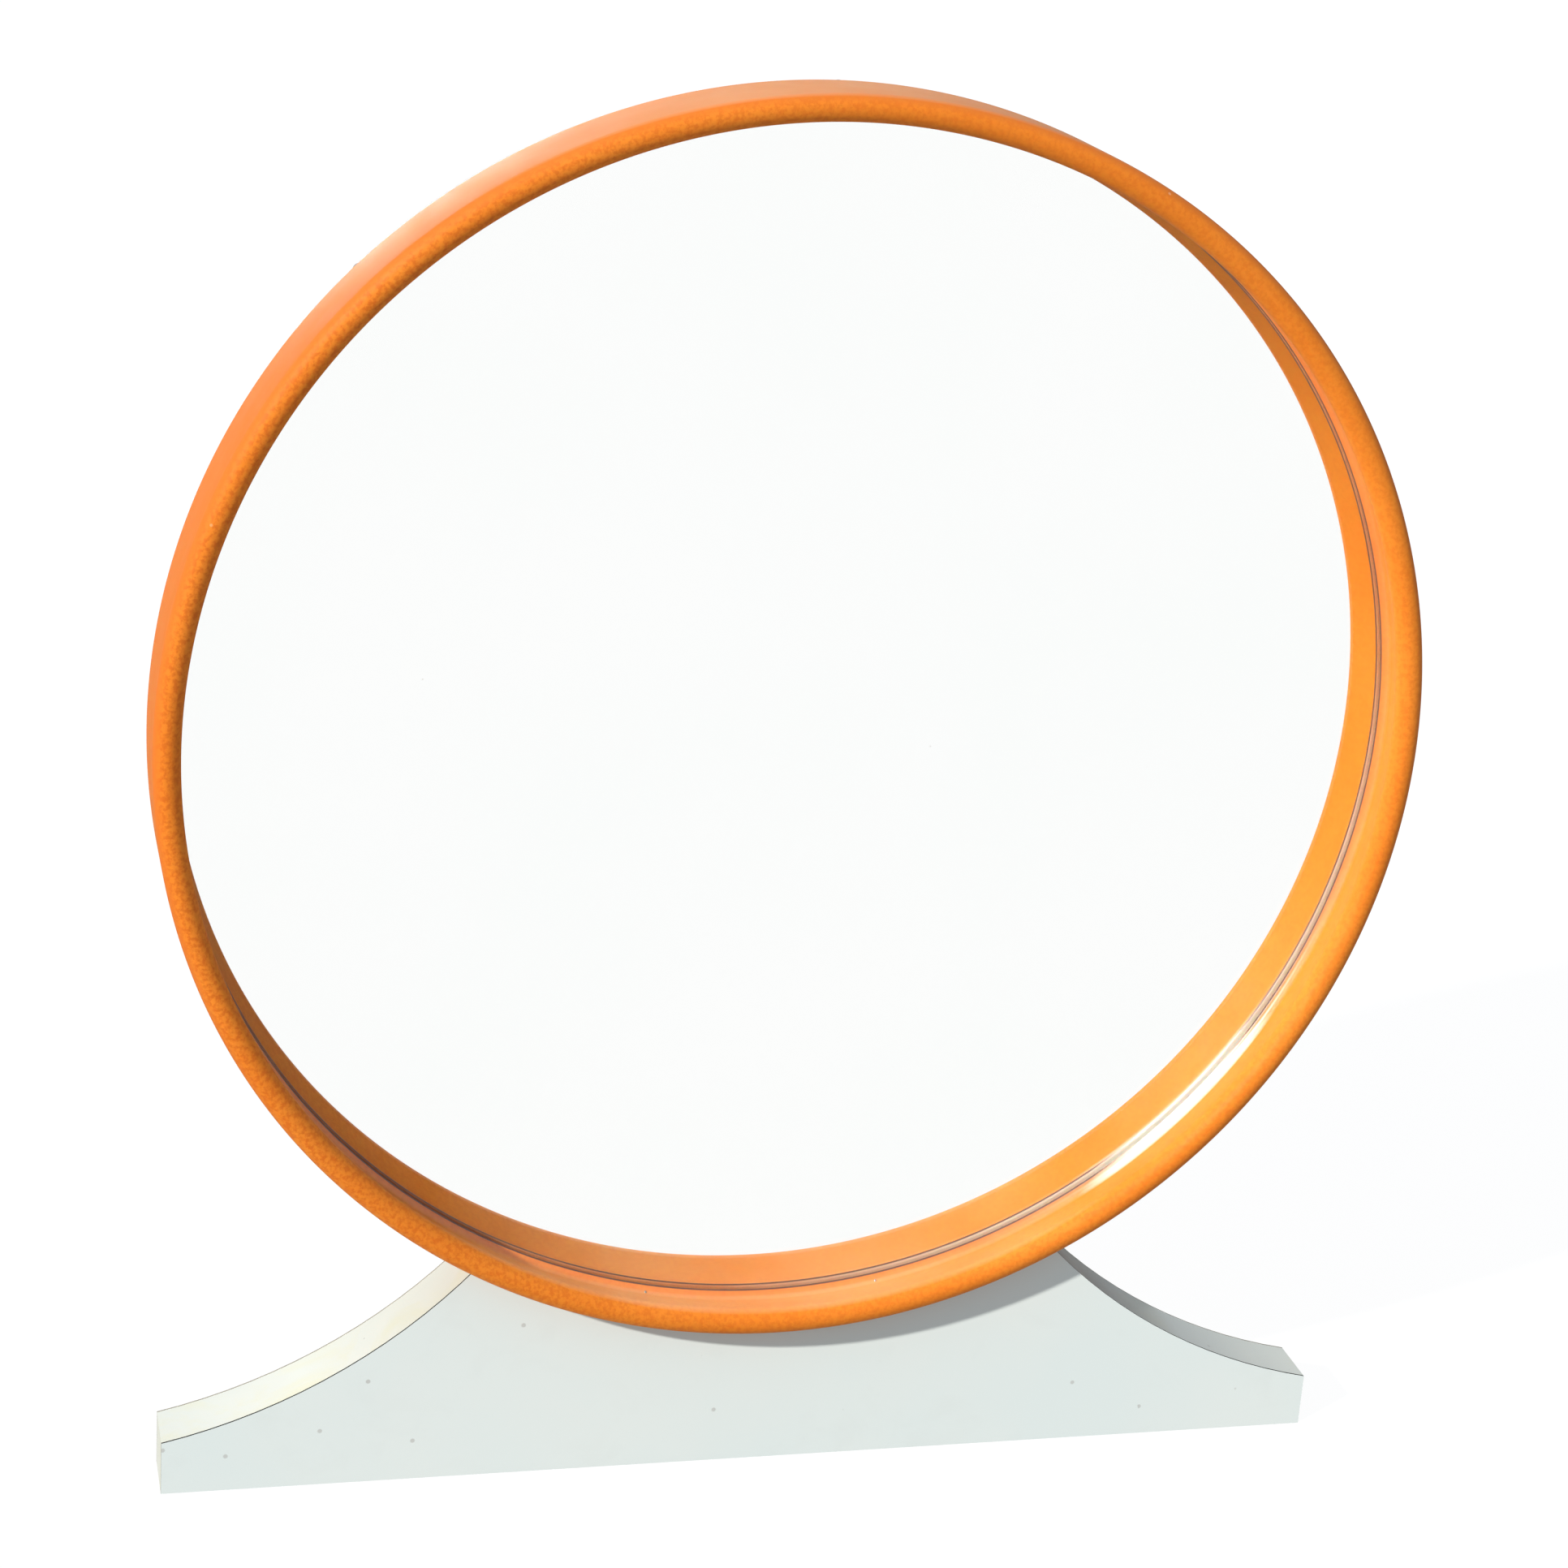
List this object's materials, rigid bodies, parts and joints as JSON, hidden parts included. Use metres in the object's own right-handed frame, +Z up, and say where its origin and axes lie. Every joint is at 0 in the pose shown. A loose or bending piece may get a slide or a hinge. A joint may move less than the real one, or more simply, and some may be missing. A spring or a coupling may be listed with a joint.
{
  "type": "round table mirror",
  "caption": "Round mirror in a rounded glossy plastic hoop that stands in a saddle in a low laminated board base with hollow sides; turn buttons hold the back.",
  "frame": {"origin": "centre of the base's underside, on the table", "axes": "+Z up; the mirror faces -Y, so +Y is the back; +X is to the right as seen from the front"},
  "size_m": [0.617, 0.097, 0.6965],
  "materials": {
    "hoop_plastic": "glossy orange moulded plastic, lightly textured and worn",
    "laminate": "satin white laminate with a dark brown paper core at its cut edge",
    "chipboard": "raw chipboard",
    "mirror": "silvered float glass",
    "card": "brown packing card",
    "plywood": "unvarnished plywood",
    "strip_steel": "zinc plated strip",
    "screw_steel": "zinc plated, slotted heads"
  },
  "bodies": {
    "stand": {"base_core": "chipboard", "front_laminate": "laminate", "back_laminate": "laminate", "left_edge_laminate": "laminate", "right_edge_laminate": "laminate", "left_end_laminate": "laminate", "right_end_laminate": "laminate", "hoop": "hoop_plastic", "hoop_screws": "screw_steel", "mirror_glass": "mirror", "packing_sheet": "card", "back_board": "plywood", "turn_button_screws": "screw_steel", "left_foot_bracket": "strip_steel", "right_foot_bracket": "strip_steel", "bracket_screws": "screw_steel"},
    "turn_button_1": {"turn_button_1": "strip_steel"},
    "turn_button_2": {"turn_button_2": "strip_steel"},
    "turn_button_3": {"turn_button_3": "strip_steel"},
    "turn_button_4": {"turn_button_4": "strip_steel"},
    "turn_button_5": {"turn_button_5": "strip_steel"},
    "turn_button_6": {"turn_button_6": "strip_steel"},
    "turn_button_7": {"turn_button_7": "strip_steel"}
  },
  "joints": [
    {"name": "turn_button_1_pivot", "type": "hinge", "parent": "stand", "child": "turn_button_1", "pos_m": [0.21524, 0.01275, 0.17276], "axis": [0, 1, 0], "range_deg": [-90, 90]},
    {"name": "turn_button_2_pivot", "type": "hinge", "parent": "stand", "child": "turn_button_2", "pos_m": [0.3044, 0.01275, 0.388], "axis": [0, 1, 0], "range_deg": [-90, 90]},
    {"name": "turn_button_3_pivot", "type": "hinge", "parent": "stand", "child": "turn_button_3", "pos_m": [0.21524, 0.01275, 0.60324], "axis": [0, 1, 0], "range_deg": [-90, 90]},
    {"name": "turn_button_4_pivot", "type": "hinge", "parent": "stand", "child": "turn_button_4", "pos_m": [0, 0.01275, 0.6924], "axis": [0, 1, 0], "range_deg": [-90, 90]},
    {"name": "turn_button_5_pivot", "type": "hinge", "parent": "stand", "child": "turn_button_5", "pos_m": [-0.21524, 0.01275, 0.60324], "axis": [0, 1, 0], "range_deg": [-90, 90]},
    {"name": "turn_button_6_pivot", "type": "hinge", "parent": "stand", "child": "turn_button_6", "pos_m": [-0.3044, 0.01275, 0.388], "axis": [0, 1, 0], "range_deg": [-90, 90]},
    {"name": "turn_button_7_pivot", "type": "hinge", "parent": "stand", "child": "turn_button_7", "pos_m": [-0.21524, 0.01275, 0.17276], "axis": [0, 1, 0], "range_deg": [-90, 90]}
  ]
}
